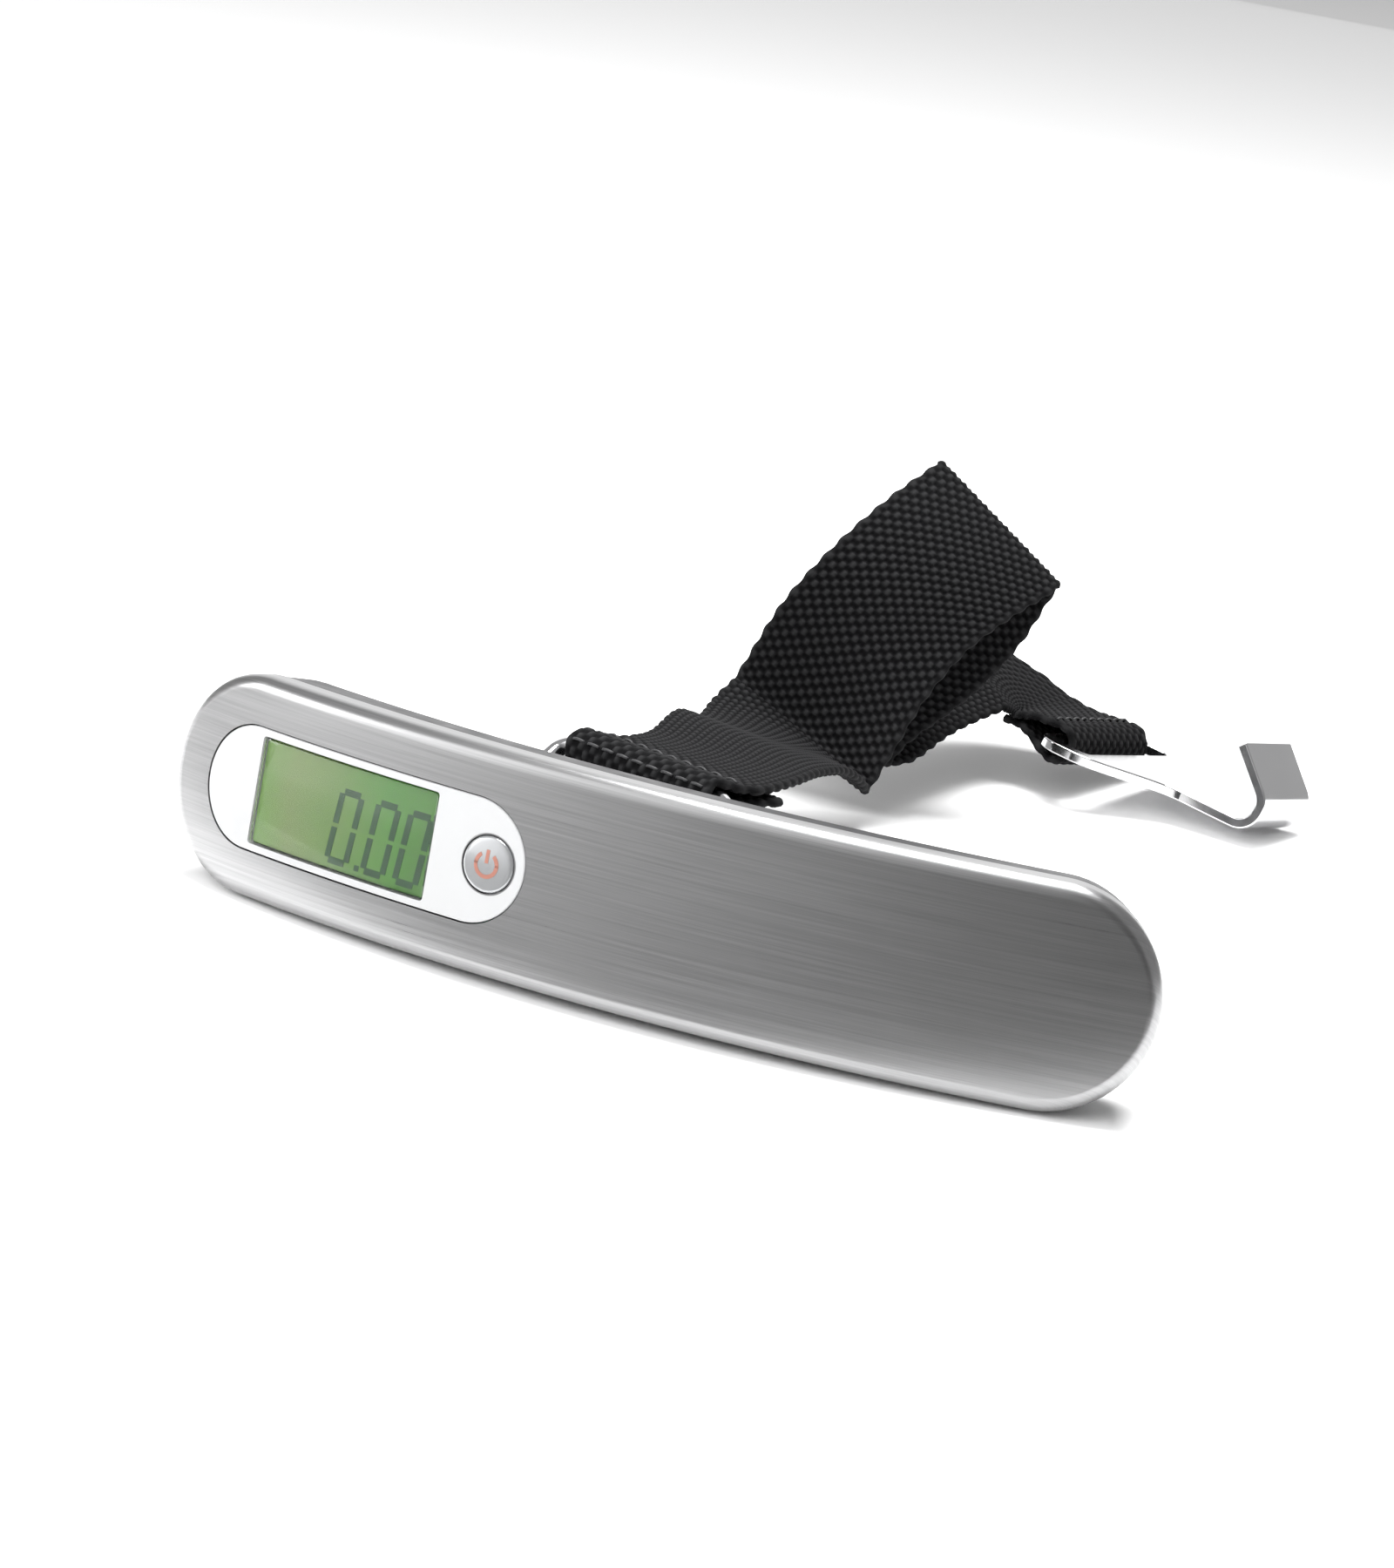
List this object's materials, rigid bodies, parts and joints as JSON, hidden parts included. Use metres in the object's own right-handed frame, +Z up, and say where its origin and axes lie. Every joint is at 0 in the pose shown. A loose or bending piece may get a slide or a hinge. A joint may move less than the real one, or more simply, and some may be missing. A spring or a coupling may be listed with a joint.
{
  "type": "digital luggage scale",
  "caption": "Handheld luggage scale: arched steel-faced bar with a small display and button, and a black webbing strap ending in a stamped steel hook.",
  "frame": {"origin": "on the surface the scale stands on, under the middle of its box", "axes": "+X along the bar to the right, with the display at the left; -Y towards the steel face; +Z up"},
  "size_m": [0.1352, 0.18, 0.0496],
  "materials": {
    "brushed_steel": "brushed lengthwise",
    "polished_steel": "polished",
    "white_gloss_plastic": "gloss",
    "black_plastic": "satin",
    "clear_window": "clear",
    "green_display": "satin",
    "backlight_plate": "satin",
    "circuit_board": "satin",
    "black_epoxy": "satin",
    "grey_rubber": "matte",
    "aluminium_alloy": "machined",
    "strain_gauge_film": "satin",
    "zinc_screw": "plated",
    "nickel_contact": "plated",
    "coin_cell": "plated",
    "red_wire": "satin",
    "black_wire": "satin",
    "white_wire": "satin",
    "black_webbing": "woven",
    "clear_button": "gloss"
  },
  "bodies": {
    "scale_body": {"front_cover": "brushed_steel", "rear_casing": "black_plastic", "bezel_panel": "white_gloss_plastic", "lcd_window": "clear_window", "lcd_glass": "green_display", "lcd_backlight": "backlight_plate", "zebra_strip": "grey_rubber", "circuit_board": "circuit_board", "controller_chip": "black_epoxy", "key_switch": "black_epoxy", "casing_screw_1": "zinc_screw", "casing_screw_2": "zinc_screw", "casing_screw_3": "zinc_screw", "load_cell": "aluminium_alloy", "strain_gauge_front": "strain_gauge_film", "strain_gauge_back": "strain_gauge_film", "load_cell_screw_1": "zinc_screw", "load_cell_screw_2": "zinc_screw", "beam_mount_block": "black_plastic", "load_eye": "polished_steel", "eye_nut": "zinc_screw", "coin_cell": "coin_cell", "negative_contact": "nickel_contact", "positive_contact": "nickel_contact", "battery_lead_red": "red_wire", "battery_lead_black": "black_wire", "gauge_lead": "white_wire"},
    "power_button": {"power_button": "clear_button"},
    "battery_cap": {"battery_cap": "black_plastic"},
    "load_ring": {"load_ring": "polished_steel"},
    "strap": {"strap_webbing": "black_webbing"},
    "hook": {"hook_plate": "polished_steel"}
  },
  "joints": [
    {"name": "power_button_press", "type": "slide", "parent": "scale_body", "child": "power_button", "axis": [0.091, 0.9921, -0.0868], "range_m": [0, 0.0005], "stiffness_N_per_m": 250},
    {"name": "battery_cap_turn", "type": "hinge", "parent": "scale_body", "child": "battery_cap", "pos_m": [0.04817, -0.06794, 0.01343], "axis": [-0.2902, 0.9533, -0.0834], "range_deg": [0, 60]},
    {"name": "ring_swing", "type": "hinge", "parent": "scale_body", "child": "load_ring", "pos_m": [-0.01527, -0.06813, 0.01374], "axis": [0.9511, -0.309, 0], "range_deg": [-25, 45]},
    {"name": "strap_swing", "type": "hinge", "parent": "load_ring", "child": "strap", "pos_m": [-0.01103, -0.05509, 0.02198], "axis": [0.9511, -0.309, 0], "range_deg": [-50, 70]},
    {"name": "hook_swing", "type": "hinge", "parent": "strap", "child": "hook", "pos_m": [0.00559, 0.07422, 0.00628], "axis": [0.158, 0.976, -0.1496], "range_deg": [-60, 60]}
  ]
}
